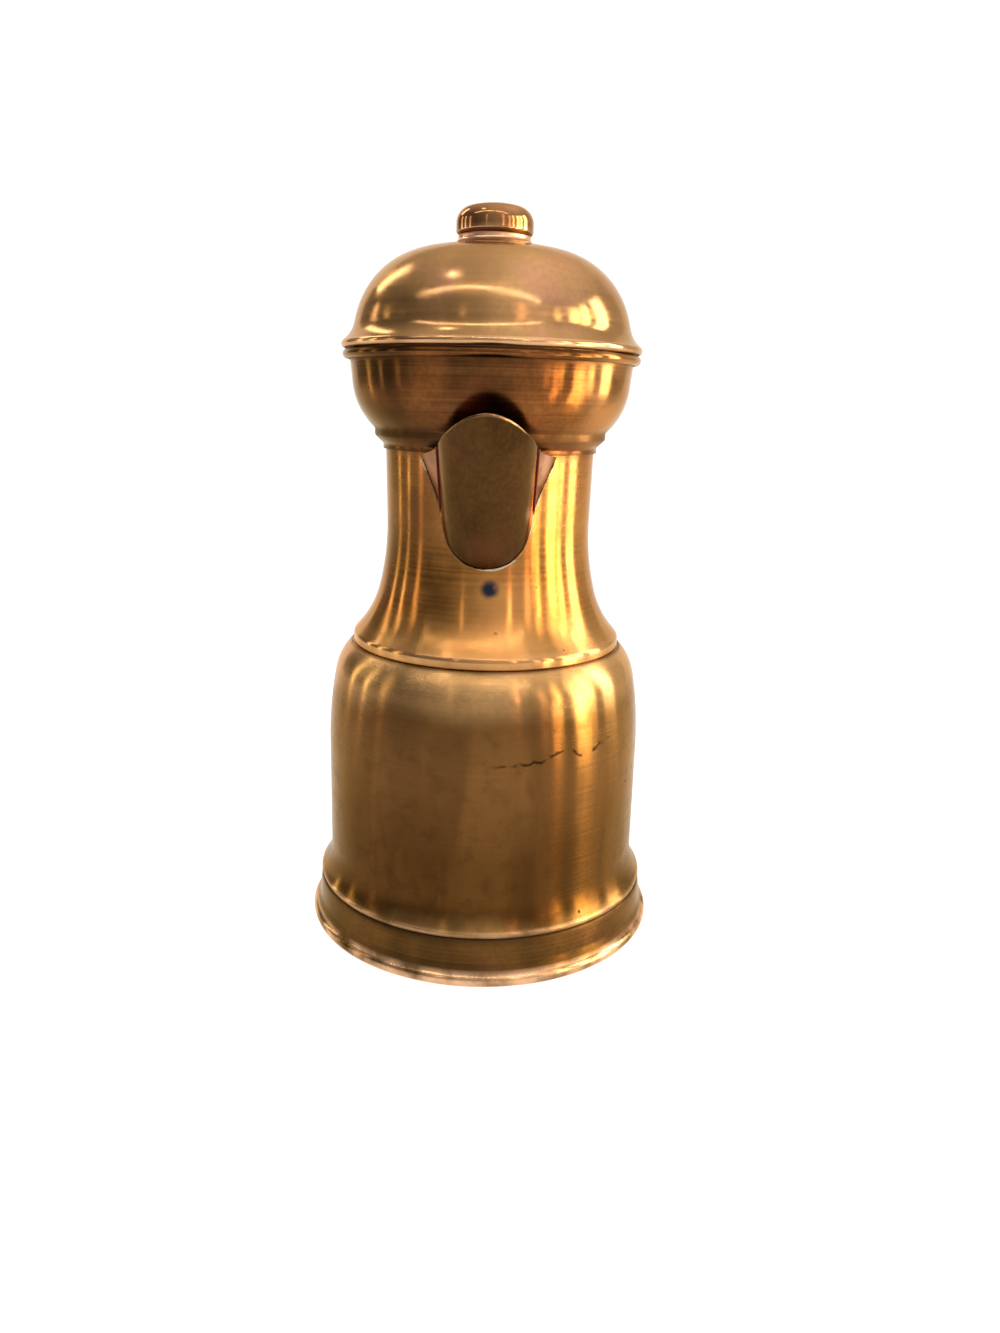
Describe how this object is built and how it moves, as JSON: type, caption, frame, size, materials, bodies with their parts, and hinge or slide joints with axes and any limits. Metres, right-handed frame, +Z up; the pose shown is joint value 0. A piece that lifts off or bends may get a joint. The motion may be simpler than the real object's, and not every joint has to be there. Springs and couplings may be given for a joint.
{
  "type": "lidded pitcher",
  "caption": "Copper pitcher with a round body on a foot band, waisted neck, folded spout, strap handle and hinged domed lid with a knob.",
  "frame": {"origin": "on the floor at the axis of the body, in the middle of the foot band's worn underside", "axes": "+Z up along the axis of the body, -Y out through the spout, +Y towards the handle and hinge, +X to the right seen from the spout"},
  "size_m": [0.1722, 0.205, 0.3384],
  "materials": {
    "vessel_copper": "polished",
    "lid_copper": "satin",
    "handle_copper": "satin",
    "rivet_copper": "polished",
    "edge_wire": "matte",
    "hinge_steel": "satin"
  },
  "bodies": {
    "vessel": {"foot_band": "vessel_copper", "foot_wire": "edge_wire", "base_plate": "vessel_copper", "body_shell": "vessel_copper", "neck_shell": "vessel_copper", "head_bowl": "vessel_copper", "rim_wire": "edge_wire", "spout": "vessel_copper", "handle": "handle_copper", "handle_upper_rivets": "rivet_copper", "handle_lower_rivets": "rivet_copper", "hinge_bracket": "handle_copper", "hinge_bracket_rivets": "rivet_copper", "hinge_pin": "hinge_steel"},
    "lid": {"lid_shell": "lid_copper", "lid_wire": "edge_wire", "lid_bezel": "lid_copper", "knob_collar": "lid_copper", "knob_cap": "lid_copper", "lid_leaf": "handle_copper", "lid_leaf_rivets": "rivet_copper"}
  },
  "joints": [
    {"name": "lid_hinge", "type": "hinge", "parent": "vessel", "child": "lid", "pos_m": [0, 0.0744, 0.27751], "axis": [-1, 0, 0], "range_deg": [0, 110]}
  ]
}
